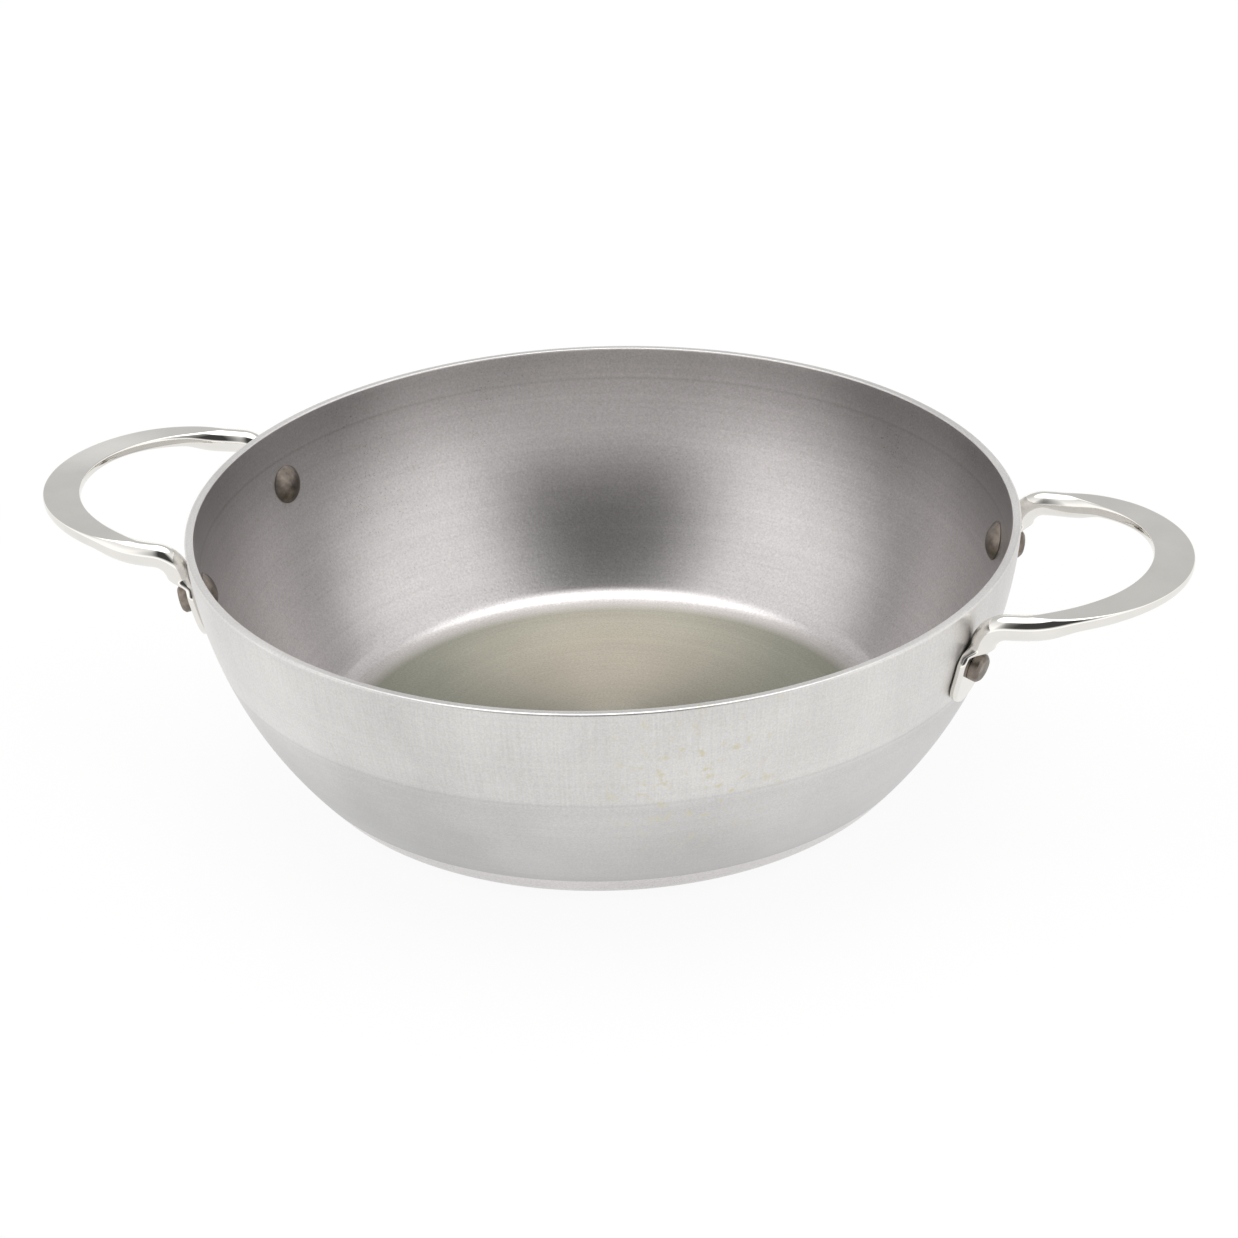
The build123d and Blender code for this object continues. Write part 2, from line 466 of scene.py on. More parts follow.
def bowl_profile(bowl):
    """Radius and height round the bowl's section, from the base's edge over the rim inside."""
    corner_steps, wall_steps, outer_steps, inner_steps = 12, 36, 8, 5
    outer_round, inner_round = bowl.rim_outer_round, bowl.rim_inner_round
    wall = Wall(bowl)
    right_angle = math.pi / 2
    outer_top = wall.lean_at(bowl.height - outer_round)
    inner_top = wall.lean_at(bowl.height - inner_round, -bowl.sheet)
    corner_leans = [between(right_angle, wall.corner_lean, s) for s in steps(corner_steps)]
    outer_leans = [between(wall.corner_lean, outer_top, s) for s in steps(wall_steps)]
    points = [(wall.base_radius, 0.0)]
    points += [wall.corner_point(lean) for lean in corner_leans]
    points += [wall.point(lean) for lean in outer_leans]
    radius, height = points[-1]
    centre = radius - outer_round
    for turn in [right_angle * s for s in steps(outer_steps)]:
        out, up = outer_round * math.cos(turn), outer_round * math.sin(turn)
        points.append((centre + out, height + up))
    radius, height = wall.point(inner_top, -bowl.sheet)
    centre = radius + inner_round
    for turn in [right_angle * (1 - s) for s in [0.0] + steps(inner_steps)]:
        out, up = inner_round * math.cos(turn), inner_round * math.sin(turn)
        points.append((centre - out, height + up))
    inner_leans = [between(inner_top, wall.corner_lean, s) for s in steps(wall_steps)]
    floor_leans = [between(wall.corner_lean, right_angle, s) for s in steps(corner_steps)]
    points += [wall.point(lean, -bowl.sheet) for lean in inner_leans]
    points += [wall.corner_point(lean, -bowl.sheet) for lean in floor_leans]
    return points


class KADAI_OT_bowl(bpy.types.Operator):
    """Models the bowl: a disc extruded up the wall, over the rim and down to the floor inside"""

    bl_idname = "kadai.bowl"
    bl_label = "Bowl"
    bl_options = {"REGISTER", "UNDO"}

    crease = math.radians(35)

    def execute(self, context):
        bowl = context.scene.kadai_bowl
        profile = bowl_profile(bowl)
        deselect_all()
        bpy.ops.mesh.primitive_circle_add(
            vertices=bowl.facets, radius=profile[0][0], fill_type="NGON"
        )
        piece = start_piece("bowl_body")
        for (radius, height), (next_radius, next_height) in zip(profile, profile[1:]):
            lift = (0, 0, next_height - height)
            bpy.ops.mesh.extrude_region_move(TRANSFORM_OT_translate={"value": lift})
            grow = next_radius / radius
            bpy.ops.transform.resize(value=(grow, grow, 1), center_override=(0, 0, 0))
        bpy.ops.mesh.inset(thickness=bowl.sheet)
        select_faces(piece, lambda face: face.center.z < bowl.sheet / 2 and len(face.vertices) > 4)
        bpy.ops.mesh.inset(thickness=bowl.sheet)
        finish_piece(self.crease)
        hand_over(piece, "bowl", [outside_steel(bowl), inside_steel(bowl)])
        self.paint_inside(piece, bowl)
        return {"FINISHED"}

    def paint_inside(self, piece, bowl):
        """Gives the second material to the inner faces, from the floor up to the rim's edge."""
        middle_share, underside_share, rim_share = 0.6, 0.9, 0.9
        wall = Wall(bowl)
        for face in piece.data.polygons:
            centre = face.center
            outer = wall.point(wall.lean_at(max(centre.z, bowl.base_corner)))[0]
            inward = math.hypot(centre.x, centre.y) < outer - bowl.sheet * middle_share
            above_base = centre.z > bowl.sheet * underside_share
            below_rim = centre.z < bowl.height - bowl.rim_inner_round * rim_share
            face.material_index = 1 if inward and above_base and below_rim else 0


# The handle's bar, one section at each station


class Station:
    """A section of the bar: flat above and below, with round flanks and rounded edges between them.

    At full thickness it is nearly a circle.
    """

    most_round = 0.998
    most_edge = 0.9

    def __init__(self, centre, along, side, width, thickness, flank, edge):
        self.centre = centre
        self.along = along.normalized()
        self.side = (side - self.along * side.dot(self.along)).normalized()
        self.up = self.along.cross(self.side)
        self.half = min(thickness / 2, flank * self.most_round)
        self.edge = min(edge, self.half * self.most_edge)
        rise, run = self.half - self.edge, flank - self.edge
        self.hub = width / 2 - flank
        self.flat = self.hub + math.sqrt(run**2 - rise**2)
        self.flank_turn = 2 * math.asin(rise / run)
        self.edge_turn = (math.pi - self.flank_turn) / 2

    def place(self, across, above):
        return self.centre + self.side * across + self.up * above


class Bar:
    """The right handle's bar: tab, neck, bend and bow, worked out from wall and settings.

    The shares of the bow run from the bend at 0 to the middle of the grip at 1.
    """

    tab_flank_share = 0.65
    tab_edge_rounds = 2
    round_edge_share = 0.35
    narrowing_share = 0.12
    widening_power = 1.7
    hammering_power = 3
    round_until, hammered_over = 0.08, 0.22
    crisp_from, crisp_over = 0.2, 0.25
    untwist_share = 0.1
    foot_start, foot_steps = 0.1, 12
    tab_steps, neck_steps, bend_steps, bow_steps = 9, 10, 14, 60

    def __init__(self, bowl, handle, rivet):
        self.wall = Wall(bowl)
        self.handle = handle
        self.gap = rivet.seat_gap
        rod = handle.rod_diameter / 2
        self.tab_flank = handle.tab_thickness * self.tab_flank_share
        self.tab_edge = handle.edge_round * self.tab_edge_rounds
        self.round_edge = rod * self.round_edge_share
        self.shoulder_climb = rivet.tail_diameter / 2 + handle.tab_margin
        self.narrowing_climb = handle.tab_width * self.narrowing_share
        self.seat_lean = self.wall.lean_at(bowl.height - rivet.drop)
        neck_lean = self.seat_lean - self.shoulder_climb / self.wall.radius
        radius, _ = self.wall.point(neck_lean)
        out = self.gap + rod
        corner_radius = radius + out * math.cos(neck_lean)
        corner_radius += handle.neck_rise * math.sin(neck_lean)
        self.turn = math.asin(handle.arm_spacing / 2 / corner_radius)
        self.across = Vector((-math.sin(self.turn), math.cos(self.turn), 0))
        self.shoulder, self.back, self.neck_up = self.wall.frame(self.turn, neck_lean)
        self.arm = Vector((math.cos(handle.arm_rise), 0, math.sin(handle.arm_rise)))
        self.top = Vector((-self.arm.z, 0, self.arm.x))
        corner = self.shoulder + self.back * out + self.neck_up * handle.neck_rise
        self.bend_turn = self.neck_up.angle(self.arm)
        self.bend_reach = handle.bend_radius * math.tan(self.bend_turn / 2)
        self.bend_side = self.neck_up.cross(self.arm).normalized()
        inward = (self.arm - self.neck_up * self.neck_up.dot(self.arm)).normalized()
        self.bend_start = corner - self.neck_up * self.bend_reach
        self.bend_centre = self.bend_start + inward * handle.bend_radius
        self.bend_end = corner + self.arm * self.bend_reach
        self.half_span = handle.arm_spacing / 2
        self.bow_centre = self.bend_end - Vector((0, self.half_span, 0))
        reach = self.wall.rim_radius + handle.reach - handle.grip_width / 2
        self.bow_depth = (reach - self.bend_end.x) / self.arm.x

    def width_at(self, climb):
        """The tab draws in to the neck from a little above the rivet's centre up to the bend."""
        handle = self.handle
        bend_climb = self.shoulder_climb + handle.neck_rise - self.bend_reach
        share = (climb - self.narrowing_climb) / (bend_climb - self.narrowing_climb)
        return between(handle.tab_width, handle.rod_diameter, ease(share))

    def tab(self, climb):
        """Across the tab, so far up the wall from the rivet. Its foot is round."""
        handle = self.handle
        thickness = handle.tab_thickness
        lean = self.seat_lean - climb / self.wall.radius
        point, outward, upward = self.wall.frame(self.turn, lean)
        half = handle.tab_width / 2
        into_foot = max(0.0, -climb - (handle.tab_foot - half))
        width = 2 * math.sqrt(half**2 - into_foot**2) if into_foot else self.width_at(climb)
        centre = point + outward * (self.gap + thickness / 2)
        return Station(
            centre, upward, self.across, width, thickness, self.tab_flank, self.tab_edge
        )

    def neck(self, share):
        """Across the neck, where the tab turns into the round bar."""
        handle = self.handle
        eased = ease(share)
        climb = (handle.neck_rise - self.bend_reach) * share
        width = self.width_at(self.shoulder_climb + climb)
        thickness = between(handle.tab_thickness, handle.rod_diameter, eased)
        flank = between(self.tab_flank, handle.rod_diameter / 2, eased)
        side = self.across * (1 - eased) + self.bend_side * eased
        centre = self.shoulder + self.neck_up * climb + self.back * (self.gap + thickness / 2)
        edge = between(self.tab_edge, self.round_edge, eased)
        return Station(centre, self.neck_up, side, width, thickness, flank, edge)

    def bend(self, share):
        """Across the bend from the neck out into the arm."""
        turn = Matrix.Rotation(self.bend_turn * share, 3, self.bend_side)
        centre = self.bend_centre + turn @ (self.bend_start - self.bend_centre)
        rod = self.handle.rod_diameter
        along = turn @ self.neck_up
        return Station(centre, along, self.bend_side, rod, rod, rod / 2, self.round_edge)

    def bow(self, share):
        """Across the bow. The bar stays round at first, and is then hammered flat and wide."""
        handle = self.handle
        rod = handle.rod_diameter
        turn = math.pi / 2 * share
        cosine, sine = math.cos(turn), math.sin(turn)
        widen = sine**self.widening_power
        width = between(rod, handle.grip_width, widen)
        hammered = 1 - (1 - share) ** self.hammering_power
        flat = between(rod, handle.grip_thickness, hammered)
        thickness = between(rod, flat, ease((share - self.round_until) / self.hammered_over))
        side = Vector((0, 1, 0))
        outward = self.arm * (self.half_span * sine) + side * (self.bow_depth * cosine)
        along = self.arm * (self.bow_depth * cosine) - side * (self.half_span * sine)
        centre = self.bow_centre + self.arm * (self.bow_depth * sine)
        centre += side * (self.half_span * cosine)
        centre += self.top * ((rod - thickness) / 2)
        bank = handle.grip_bank * widen
        across = outward.normalized() * math.cos(bank) - self.top * math.sin(bank)
        untwisted = share / self.untwist_share
        if untwisted < 1:
            across = (self.bend_side * (1 - untwisted) + across * untwisted).normalized()
        crisp = ease((share - self.crisp_from) / self.crisp_over)
        edge = between(self.round_edge, handle.edge_round, crisp)
        return Station(centre, along, across, width, thickness, rod / 2, edge)

    def stations(self):
        """From the tab's foot to the middle of the grip."""
        handle = self.handle
        half = handle.tab_width / 2
        straight = handle.tab_foot - half
        foot = [self.foot_start] + steps(self.foot_steps)[1:]
        stations = [self.tab(-straight - half * math.cos(math.pi / 2 * s)) for s in foot]
        climbs = [between(-straight, self.shoulder_climb, s) for s in steps(self.tab_steps)]
        stations += [self.tab(climb) for climb in climbs]
        stations += [self.neck(s) for s in steps(self.neck_steps)]
        stations += [self.bend(s) for s in steps(self.bend_steps)]
        stations += [self.bow(s) for s in steps(self.bow_steps)]
        return stations


class KADAI_OT_handles(bpy.types.Operator):
    """Models half a handle's bar by bridging its sections from tab to grip, and mirrors it"""

    bl_idname = "kadai.handles"
    bl_label = "Handles"
    bl_options = {"REGISTER", "UNDO"}

    edge_steps = 4
    flank_steps = 12
    border_share = 0.4
    end_reach = 3
    seed_radius = 0.1 * MM
    near = 0.01 * MM
    crease = math.radians(40)

    def execute(self, context):
        scene = context.scene
        handle = scene.kadai_handle
        bar = Bar(scene.kadai_bowl, handle, scene.kadai_rivet)
        stations = bar.stations()
        deselect_all()
        self.add_corner(stations[0])
        piece = start_piece("bar_right")
        self.draw_section(stations[0], handle)
        for station in stations[1:]:
            self.add_corner(station)
            self.draw_section(station, handle)
        bpy.ops.mesh.select_all(action="SELECT")
        bpy.ops.mesh.remove_doubles(threshold=MERGE_DISTANCE)
        bpy.ops.mesh.bridge_edge_loops()
        self.select_end(piece, stations[0])
        bpy.ops.mesh.edge_face_add()
        bpy.ops.object.mode_set(mode="OBJECT")
        mirror = piece.modifiers.new("far half", "MIRROR")
        mirror.use_axis = (False, True, False)
        mirror.merge_threshold = self.near
        bpy.ops.object.modifier_apply(modifier=mirror.name)
        bpy.ops.object.mode_set(mode="EDIT")
        finish_piece(self.crease)
        left = copy_mirrored(piece, "bar_left", (-1, 1, 1))
        polished = polished_steel(handle)
        hand_over(piece, "handle_right", [polished])
        hand_over(left, "handle_left", [polished])
        return {"FINISHED"}

    def add_corner(self, station):
        """A tiny triangle of wire where the upper flat ends on one side."""
        start = station.place(station.flat, station.half)
        bpy.ops.mesh.primitive_circle_add(vertices=3, radius=self.seed_radius, location=start)

    def draw_section(self, station, handle):
        """Draws the section from its first corner: round one flank, under the bar and back."""
        bpy.ops.mesh.merge(type="CENTER")
        for way in (1, -1):
            for hub, above, turn, count in (
                (station.flat, station.half - station.edge, station.edge_turn, self.edge_steps),
                (station.hub, 0.0, station.flank_turn, self.flank_steps),
                (station.flat, station.edge - station.half, station.edge_turn, self.edge_steps),
            ):
                middle = station.place(hub * way, above * way)
                bpy.ops.mesh.spin(steps=count, angle=turn, center=middle, axis=station.along)
            border = min(handle.edge_round, station.flat * self.border_share)
            for run in (border, 2 * (station.flat - border), border):
                move = -station.side * run * way
                bpy.ops.mesh.extrude_region_move(TRANSFORM_OT_translate={"value": move})

    def select_end(self, piece, foot):
        """Selects the loop at the tab's foot, which lies within a few halves of its thickness."""
        reach = foot.half * self.end_reach

        def at_end(place):
            offset = place - foot.centre
            return abs(offset.dot(foot.along)) < self.near and offset.length < reach

        select_vertices(piece, at_end)


class KADAI_OT_rivets(bpy.types.Operator):
    """Models a rivet by extruding a disc from tail to domed head, and mirrors it to four seats"""

    bl_idname = "kadai.rivets"
    bl_label = "Rivets"
    bl_options = {"REGISTER", "UNDO"}

    facets = 64
    dome_steps = 14
    lip = 0.3 * MM
    crease = math.radians(50)

    def execute(self, context):
        scene = context.scene
        bowl, handle, rivet = scene.kadai_bowl, scene.kadai_handle, scene.kadai_rivet
        bar = Bar(bowl, handle, rivet)
        profile = self.profile(bowl, handle, rivet)
        deselect_all()
        bpy.ops.mesh.primitive_circle_add(
            vertices=self.facets, radius=profile[0][0], fill_type="NGON"
        )
        piece = start_piece("rivet_rear_right")
        bpy.ops.transform.translate(value=(0, 0, profile[0][1]))
        for (radius, height), (next_radius, next_height) in zip(profile, profile[1:]):
            lift = (0, 0, next_height - height)
            bpy.ops.mesh.extrude_region_move(TRANSFORM_OT_translate={"value": lift})
            grow = next_radius / radius
            bpy.ops.transform.resize(value=(grow, grow, 1), center_override=(0, 0, next_height))
        finish_piece(self.crease)
        seat, outward, upward = bar.wall.frame(bar.turn, bar.seat_lean)
        across = upward.cross(outward)
        place = Matrix((across, upward, outward)).transposed().to_4x4()
        place.translation = seat
        piece.matrix_world = place
        bpy.ops.object.transform_apply(location=True, rotation=True, scale=True)
        dark = rivet_steel(rivet)
        front_right = copy_mirrored(piece, "rivet_front_right", (1, -1, 1))
        rear_left = copy_mirrored(piece, "rivet_rear_left", (-1, 1, 1))
        front_left = copy_mirrored(rear_left, "rivet_front_left", (1, -1, 1))
        for copy, node in (
            (piece, "rivet_right_rear"),
            (front_right, "rivet_right_front"),
            (rear_left, "rivet_left_rear"),
            (front_left, "rivet_left_front"),
        ):
            hand_over(copy, node, [dark])
        return {"FINISHED"}

    def profile(self, bowl, handle, rivet):
        """Radius and height along the shank, from the tail's end outside to the crown inside."""
        tail_seat = 2 * rivet.seat_gap + handle.tab_thickness
        tail_end = tail_seat + rivet.tail_height
        tail, chamfer = rivet.tail_diameter / 2, rivet.tail_chamfer
        shank = rivet.shank_diameter / 2
        brim, crown, lip = rivet.head_diameter / 2, rivet.head_height, self.lip
        face = -bowl.sheet - rivet.seat_gap
        worn_share, bite_share, brim_share, tip_share = 0.25, 0.4, 0.97, 0.02
        worn = chamfer * worn_share
        bite = worn * bite_share
        points = [
            (tail - chamfer * 2, tail_end),
            (tail - chamfer - worn, tail_end),
            (tail - chamfer + bite, tail_end - worn),
            (tail - worn, tail_end - chamfer + bite),
            (tail, tail_end - chamfer - worn),
            (tail, tail_seat),
            (shank, tail_seat),
            (shank, face),
            (brim * brim_share, face),
            (brim, face - lip),
        ]
        sphere = (brim**2 + crown**2) / (2 * crown)
        half = math.asin(brim / sphere)
        for s in steps(self.dome_steps)[:-1]:
            angle = half * (1 - s)
            fall = (1 - math.cos(angle)) / (1 - math.cos(half))
            points.append((sphere * math.sin(angle), face - lip - (crown - lip) * (1 - fall)))
        points.append((brim * tip_share, face - crown))
        return points


# Materials


class Value:
    """A number in a shader. Arithmetic on it adds the Math nodes that the expression stands for."""

    def __init__(self, shader, socket):
        self.shader = shader
        self.socket = socket

    def math(self, operation, *values):
        return self.shader.node("ShaderNodeMath", {"operation": operation}, *values)

    def __add__(self, other):
        return self.math("ADD", self, other)

    def __radd__(self, other):
        return self.math("ADD", other, self)

    def __sub__(self, other):
        return self.math("SUBTRACT", self, other)

    def __rsub__(self, other):
        return self.math("SUBTRACT", other, self)

    def __mul__(self, other):
        return self.math("MULTIPLY", self, other)

    def __rmul__(self, other):
        return self.math("MULTIPLY", other, self)

    def __truediv__(self, other):
        return self.math("DIVIDE", self, other)

    def __rtruediv__(self, other):
        return self.math("DIVIDE", other, self)

    def __pow__(self, other):
        return self.math("POWER", self, other)

    def __rpow__(self, other):
        return self.math("POWER", other, self)


class Shader:
    """A material's or world's node tree."""

    object_output = 3
    mix_result = 2
    mix_number_sockets = 5

    def __init__(self, tree):
        self.tree = tree
        tree.nodes.clear()

    def node(self, kind, settings=None, *values, output=0, **named):
        """Adds a node: settings first, then inputs in order or by name. Gives one output.

        None leaves an input as it is.
        """
        node = self.tree.nodes.new(kind)
        for key, setting in (settings or {}).items():
            if key == "stops":
                self.set_stops(node.color_ramp, setting)
            else:
                setattr(node, key, setting)
        inputs = list(enumerate(values))
        inputs += [(key.replace("_", " "), value) for key, value in named.items()]
        for key, value in inputs:
            if isinstance(value, Value):
                self.tree.links.new(value.socket, node.inputs[key])
            elif value is not None:
                node.inputs[key].default_value = value
        return Value(self, node.outputs[output]) if node.outputs else node

    def set_stops(self, ramp, stops):
        """Stops of a grey ramp, as position and level."""
        while len(ramp.elements) < len(stops):
            ramp.elements.new(1.0)
        for element, (position, level) in zip(ramp.elements, stops):
            element.position = position
            element.color = (level, level, level, 1.0)

    def ramp(self, value, *stops):
        """Grey levels that follow a value through the stops."""
        return self.node("ShaderNodeValToRGB", {"stops": stops}, value)

    def place(self):
        """Where the point lies in the object's own coordinates."""
        return self.node("ShaderNodeTexCoord", output=self.object_output)

    def parts(self, vector):
        """X, Y and Z of a vector."""
        split = self.node("ShaderNodeSeparateXYZ", None, vector).socket.node
        return [Value(self, socket) for socket in split.outputs]

    def vector(self, x, y, z):
        return self.node("ShaderNodeCombineXYZ", None, x, y, z)

    def noise(self, vector, scale, detail, roughness):
        named = {"Vector": vector, "Scale": scale, "Detail": detail, "Roughness": roughness}
        return self.node("ShaderNodeTexNoise", None, **named)

    def mix_colour(self, factor, low, high, blend="MIX"):
        """A colour between low and high. The sockets that mix numbers and vectors are skipped."""
        settings = {"data_type": "RGBA", "blend_type": blend}
        skipped = [None] * self.mix_number_sockets
        colours = (low, high)
        return self.node(
            "ShaderNodeMix", settings, factor, *skipped, *colours, output=self.mix_result
        )

    def distance(self, parts, middle):
        """How far the point lies from a middle, in two or three directions."""
        offsets = [part - place for part, place in zip(parts, middle)]
        squares = [offset * offset for offset in offsets]
        total = squares[0]
        for square in squares[1:]:
            total = total + square
        return total**0.5

    def bump(self, height, strength, distance):
        named = {"Strength": strength, "Distance": distance, "Height": height}
        return self.node("ShaderNodeBump", None, **named)

    def surface(self, **named):
        """Adds the Principled surface and the material's output."""
        principled = self.node("ShaderNodeBsdfPrincipled", None, **named)
        self.node("ShaderNodeOutputMaterial", None, Surface=principled)


def new_material(name):
    material = bpy.data.materials.new(name)
    material.use_nodes = True
    return material, Shader(material.node_tree)


def opaque(colour):
    return (*colour, 1.0)


# In the steels, a ramp's stops on level are shares of the bowl's height.


def outside_steel(bowl):
    """Satin steel outside: paler and scratched above the press ring, greyer below, with wax, and
    with painted shade that darkens it towards the base.
    """
    material, shader = new_material("satin_steel_outside")
    base_shade_depth, ring_fade, corner_shade_depth, wax_cover = 0.25, 0.10, 0.24, 0.8
    ring_stretch, ring_scale, turn_scale, climb_scale = 5, 700, 190, 45
    place = shader.place()
    x, y, z = shader.parts(place)
    radius = (x * x + y * y) ** 0.5
    turn = y.math("ARCTAN2", y, x)
    level = z / bowl.height
    turned = shader.vector(x * ring_stretch, y * ring_stretch, (radius * 0.5 + z) * ring_scale)
    rings = shader.noise(turned, scale=1.0, detail=3.0, roughness=0.6)
    streaked = shader.vector(turn * turn_scale, z * climb_scale, 0.0)
    scratches = shader.noise(streaked, scale=1.0, detail=3.0, roughness=0.65)
    grain = shader.noise(place, scale=1500.0, detail=2.0, roughness=0.7)
    blotches = shader.noise(place, scale=14.0, detail=3.0, roughness=0.55)
    wander = (shader.noise(place, scale=9.0, detail=1.0, roughness=0.5) - 0.5) * 0.03
    above = shader.ramp(level + wander, (0.565, 0.0), (0.605, 1.0))
    press_ring = shader.ramp(level, (0.575, 0.0), (0.585, 1.0), (0.595, 0.0))
    # Painted shade: the wall outside darkens towards the base.
    painted_base_shade = shader.ramp(level, (0.04, 1.0), (0.50, 0.0))
    flecks = shader.noise(place, scale=260.0, detail=3.0, roughness=0.65)
    specks = shader.ramp(flecks, (0.56, 0.0), (0.68, 1.0))
    away = shader.distance((x, y, z), bowl.wax_place)
    patches = shader.ramp(away / bowl.height, (0.10, 1.0), (0.50, 0.0))
    steel = shader.mix_colour(above, opaque(bowl.pressed_colour), opaque(bowl.outside_colour))
    marks = scratches * (0.06 + above * 0.10) + blotches * 0.44 + grain * 0.32 + rings * 0.08
    tone = shader.ramp(marks, (0.36, 0.815), (0.63, 1.175))
    # Painted shade: darker again on the base corner.
    corner = shader.ramp(level, (0.0, 1.0), (0.16, 0.0))
    tone = tone * (1 - painted_base_shade * base_shade_depth) * (1 - press_ring * ring_fade)
    tone = tone * (1 - corner * corner_shade_depth)
    steel = shader.mix_colour(1.0, steel, tone, "MULTIPLY")
    shader.surface(
        Base_Color=shader.mix_colour(specks * patches * wax_cover, steel, opaque(bowl.wax_colour)),
        Metallic=1.0,
        Roughness=0.28 + blotches * 0.06 + grain * 0.06 + scratches * 0.06,
        Normal=shader.bump(scratches * 0.4 + grain * 0.5 + rings * 0.1, 0.35, 0.06 * MM),
        Anisotropic=0.35,
    )
    return material


def inside_steel(bowl):
    """Satin steel inside: sandy grain, faint rings under the rim and an olive cooking floor, whose
    middle behind the centre is lighter and warmer, partly its own cooking tint and partly a painted
    highlight.
    """
    material, shader = new_material("satin_steel_inside")
    rim_shade_depth, ring_fade, fillet_width = 0.32, 0.16, 0.05
    ring_stretch, ring_scale = 5, 600
    place = shader.place()
    x, y, z = shader.parts(place)
    radius = (x * x + y * y) ** 0.5
    level = z / bowl.height
    spread = radius / (bowl.base_diameter / 2)
    turned = shader.vector(x * ring_stretch, y * ring_stretch, (radius + z) * ring_scale)
    rings = shader.noise(turned, scale=1.0, detail=3.0, roughness=0.6)
    grain = shader.noise(place, scale=1300.0, detail=2.0, roughness=0.8)
    blotches = shader.noise(place, scale=18.0, detail=3.0, roughness=0.55)
    # Stops on spread are shares of the base's radius, and those on away of its diameter.
    floor = shader.ramp(spread, (0.95, 1.0), (1.0, 0.35))
    floor = floor * shader.ramp(spread - fillet_width, (0.95, 1.0), (1.0, 0.0))
    # Painted highlight: the floor's middle behind the centre is lighter and warmer; the warmth is
    # partly the cooking floor's own tint.
    away = shader.distance((x, y), bowl.tint_and_highlight_place[:2])
    middle = shader.ramp(away / bowl.base_diameter, (0.05, 1.0), (0.32, 0.0))
    # Painted shade: the inner wall darkens towards the rim.
    painted_rim_shade = shader.ramp(level, (0.60, 0.0), (0.95, 1.0))
    ring = shader.ramp(level, (0.862, 0.0), (0.87, 1.0), (0.878, 0.0))
    edge_colour, warm_and_highlight_colour = opaque(bowl.floor_edge_colour), opaque(bowl.floor_tint_and_highlight_colour)
    floor_steel = shader.mix_colour(middle, edge_colour, warm_and_highlight_colour)
    steel = shader.mix_colour(floor, opaque(bowl.inside_colour), floor_steel)
    tone = shader.ramp(grain * 0.6 + blotches * 0.25 + rings * 0.15, (0.32, 0.78), (0.68, 1.22))
    tone = tone * (1 - painted_rim_shade * rim_shade_depth) * (1 - ring * ring_fade)
    shader.surface(
        Base_Color=shader.mix_colour(1.0, steel, tone, "MULTIPLY"),
        Metallic=0.90,
        Roughness=0.24 + floor * 0.12 + grain * 0.06 + blotches * 0.04,
        Normal=shader.bump(rings * 0.25 + grain * 0.75, 0.6, 0.1 * MM),
        Anisotropic=0.6,
        Anisotropic_Rotation=0.25,
    )
    return material


def polished_steel(handle):
    """Mirror polished bar with a faint haze, hairline scratches and tiny dents."""
    material, shader = new_material("polished_steel")
    place = shader.place()
    x, y, z = shader.parts(place)
    haze = shader.noise(place, scale=60.0, detail=3.0, roughness=0.6)
    stretched = shader.vector(x * 90, y * 700, z * 250)
    scratches = shader.noise(stretched, scale=1.0, detail=3.0, roughness=0.6)
    waves = shader.noise(place, scale=38.0, detail=1.0, roughness=0.4)
    tone = shader.ramp(haze, (0.3, 0.96), (0.7, 1.03))
    shader.surface(
        Base_Color=shader.mix_colour(1.0, opaque(handle.colour), tone, "MULTIPLY"),
        Metallic=1.0,
        Roughness=0.03 + haze * 0.04 + scratches * 0.03,
        Normal=shader.bump(waves * 0.5 + scratches * 0.05, 0.25, 0.2 * MM),
    )
    return material


def rivet_steel(rivet):
    """Dark rivet steel with a brown cast, pitted where the tail was struck."""
    material, shader = new_material("rivet_steel")
    place = shader.place()
    stains = shader.noise(place, scale=260.0, detail=3.0, roughness=0.6)
    pits = shader.noise(place, scale=1100.0, detail=3.0, roughness=0.6)
    tone = shader.ramp(stains, (0.3, 0.55), (0.7, 1.5))
    shader.surface(
        Base_Color=shader.mix_colour(1.0, opaque(rivet.colour), tone, "MULTIPLY"),
        Metallic=1.0,
        Roughness=0.26 + stains * 0.2 + pits * 0.1,
        Normal=shader.bump(pits, 0.5, 0.12 * MM),
    )
    return material


# Stage


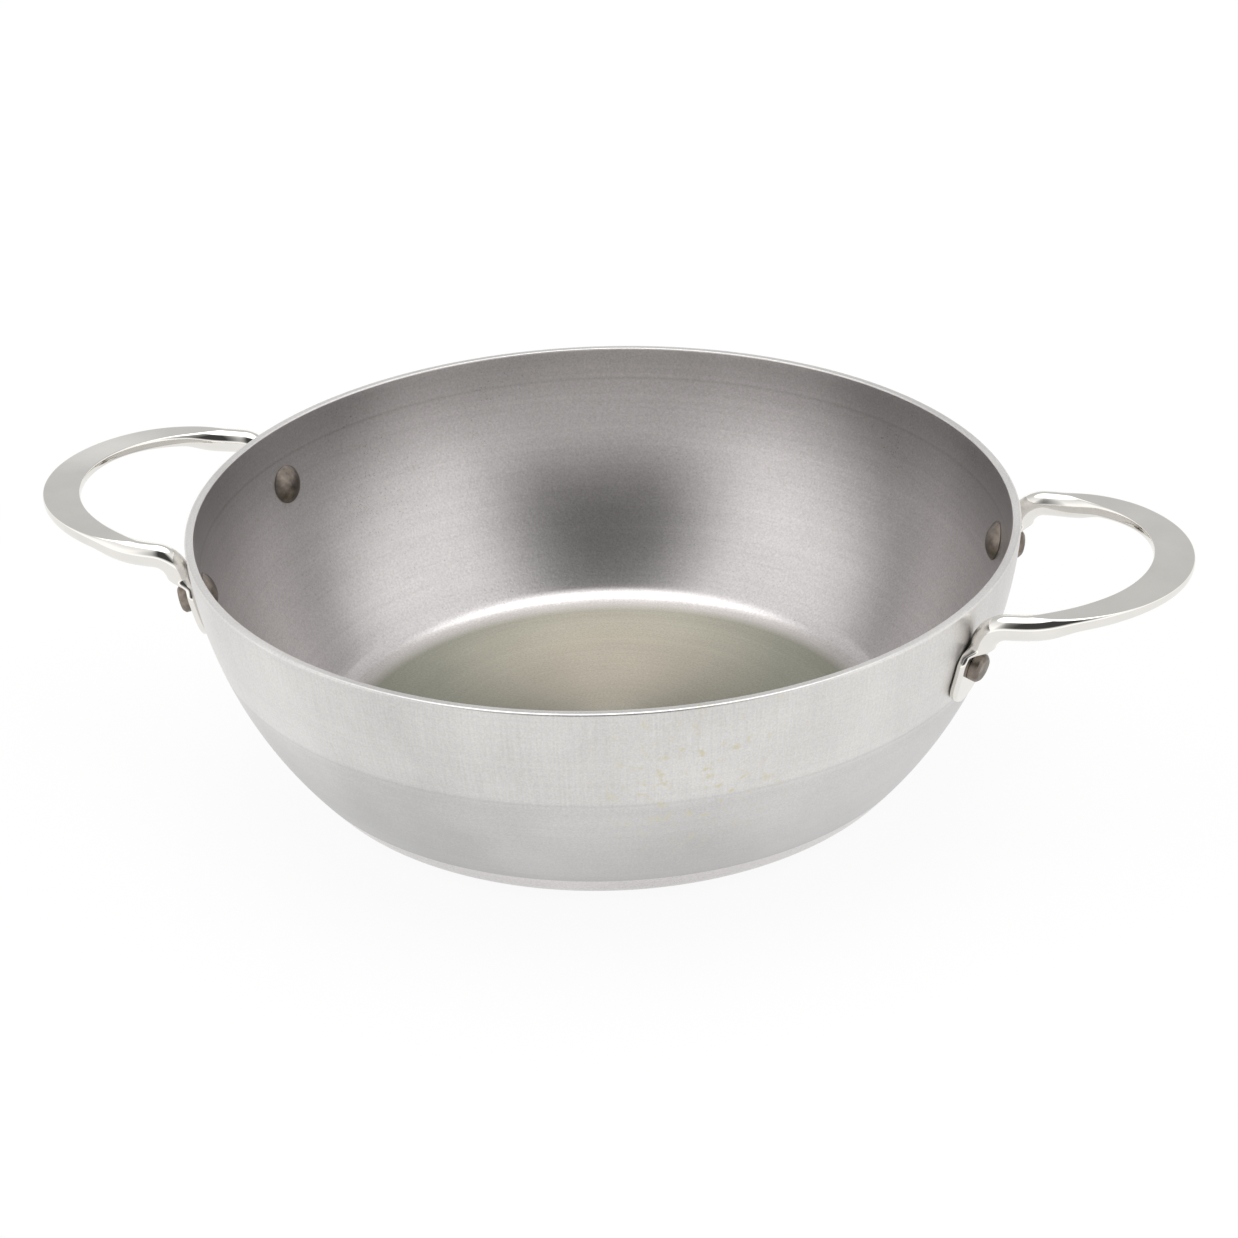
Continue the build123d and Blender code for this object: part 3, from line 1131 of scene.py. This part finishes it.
class KADAI_OT_stage(bpy.types.Operator):
    """Lays a pale floor and sets up the world's soft light and the camera"""

    bl_idname = "kadai.stage"
    bl_label = "Stage"
    bl_options = {"REGISTER", "UNDO"}

    def execute(self, context):
        stage = context.scene.kadai_stage
        self.add_floor(stage)
        self.set_world(context.scene, stage)
        self.add_camera(context.scene, stage)
        return {"FINISHED"}

    def add_floor(self, stage):
        """The floor takes soft shadows, and nearly all that is seen of it glows white."""
        deselect_all()
        bpy.ops.mesh.primitive_grid_add(x_subdivisions=8, y_subdivisions=8, size=stage.floor_size)
        floor = bpy.context.object
        floor.name = floor.data.name = "studio_floor"
        material, shader = new_material("pale_floor")
        glow_share = 0.92
        seen = self.seen_rays(shader)
        paint = shader.node("ShaderNodeBsdfDiffuse", None, Color=(0.9, 0.9, 0.89, 1.0))
        glow = shader.node("ShaderNodeEmission", None, Color=(1.0, 1.0, 1.0, 1.0), Strength=1.0)
        surface = shader.node("ShaderNodeMixShader", None, seen * glow_share, paint, glow)
        shader.node("ShaderNodeOutputMaterial", None, Surface=surface)
        floor.data.materials.append(material)

    def seen_rays(self, shader):
        """1 for what the camera sees, directly, in metal or through glass."""
        path = shader.node("ShaderNodeLightPath").socket.node
        names = ("Is Camera Ray", "Is Glossy Ray", "Is Transmission Ray")
        rays = [Value(shader, path.outputs[name]) for name in names]
        seen = rays[0] + rays[1] + rays[2]
        return seen.math("MINIMUM", seen, 1.0)

    def set_world(self, scene, stage):
        """Light by direction, in the camera's heading: walls, ceiling and a dark room in front."""
        world = bpy.data.worlds.new("studio")
        scene.world = world
        world.use_nodes = True
        shader = Shader(world.node_tree)
        direction = shader.node("ShaderNodeTexCoord", None, output=0)
        about_z = {"rotation_type": "Z_AXIS"}
        turned = shader.node(
            "ShaderNodeVectorRotate", about_z, Vector=direction, Angle=-stage.heading
        )
        x, y, z = shader.parts(turned)
        front = -1 * y / (x * x + y * y) ** 0.5
        tilt = math.radians(10)
        overhead = y * math.sin(tilt) + z * math.cos(tilt)
        ceiling = shader.ramp(overhead, (0.86, 0.0), (0.90, 0.45), (0.98, 1.0))
        raised = shader.ramp(z, (0.14, 0.0), (0.36, 1.0))
        camera_side = shader.ramp(front, (0.66, 0.0), (0.95, 1.0)) * raised
        behind = shader.ramp(0 - front, (0.0, 0.0), (0.85, 1.0)) * raised
        high = shader.ramp(z, (0.45, 0.0), (0.8, 1.0))
        walls = between(stage.side_level, 1.0, high)
        walls = between(walls, stage.back_level, behind)
        walls = between(walls, stage.front_level, camera_side)
        level = between(walls, stage.ceiling_level, ceiling)
        white = (1.0, 1.0, 1.0, 1.0)
        background = shader.node("ShaderNodeBackground", None, Color=white, Strength=level)
        shader.node("ShaderNodeOutputWorld", None, Surface=background)

    def add_camera(self, scene, stage):
        """The camera that was fitted to the photograph."""
        sensor_width, clip_start = 36.0, 0.05
        bpy.ops.object.camera_add()
        camera = bpy.context.object
        camera.name = camera.data.name = "photo_camera"
        camera.matrix_world = (
            Matrix.Translation(Vector(stage.camera_place))
            @ Matrix.Rotation(stage.heading, 4, "Z")
            @ Matrix.Rotation(math.pi / 2 - stage.pitch, 4, "X")
            @ Matrix.Rotation(stage.roll, 4, "Z")
        )
        camera.data.sensor_width = sensor_width
        camera.data.lens = stage.lens
        camera.data.clip_start = clip_start
        scene.camera = camera
        scene.view_settings.view_transform = "Standard"


class KADAI_PT_sidebar(bpy.types.Panel):
    """The kadai's pieces and sizes"""

    bl_idname = "KADAI_PT_sidebar"
    bl_label = "Kadai"
    bl_space_type = "VIEW_3D"
    bl_region_type = "UI"
    bl_category = "Kadai"

    def draw(self, context):
        layout = self.layout
        scene = context.scene
        for operator, settings in (
            ("kadai.bowl", scene.kadai_bowl),
            ("kadai.handles", scene.kadai_handle),
            ("kadai.rivets", scene.kadai_rivet),
            ("kadai.stage", scene.kadai_stage),
        ):
            box = layout.box()
            box.operator(operator)
            for name in settings.__annotations__:
                box.prop(settings, name)


SETTINGS = {
    "kadai_bowl": BowlSettings,
    "kadai_handle": HandleSettings,
    "kadai_rivet": RivetSettings,
    "kadai_stage": StageSettings,
}
CLASSES = (
    *SETTINGS.values(),
    KADAI_OT_bowl,
    KADAI_OT_handles,
    KADAI_OT_rivets,
    KADAI_OT_stage,
    KADAI_PT_sidebar,
)


def register():
    for cls in CLASSES:
        bpy.utils.register_class(cls)
    for name, settings in SETTINGS.items():
        setattr(bpy.types.Scene, name, PointerProperty(type=settings))


def unregister():
    for name in SETTINGS:
        delattr(bpy.types.Scene, name)
    for cls in reversed(CLASSES):
        bpy.utils.unregister_class(cls)


def main():
    register()
    bpy.ops.kadai.bowl()
    bpy.ops.kadai.handles()
    bpy.ops.kadai.rivets()
    bpy.ops.kadai.stage()


if __name__ == "__main__":
    main()
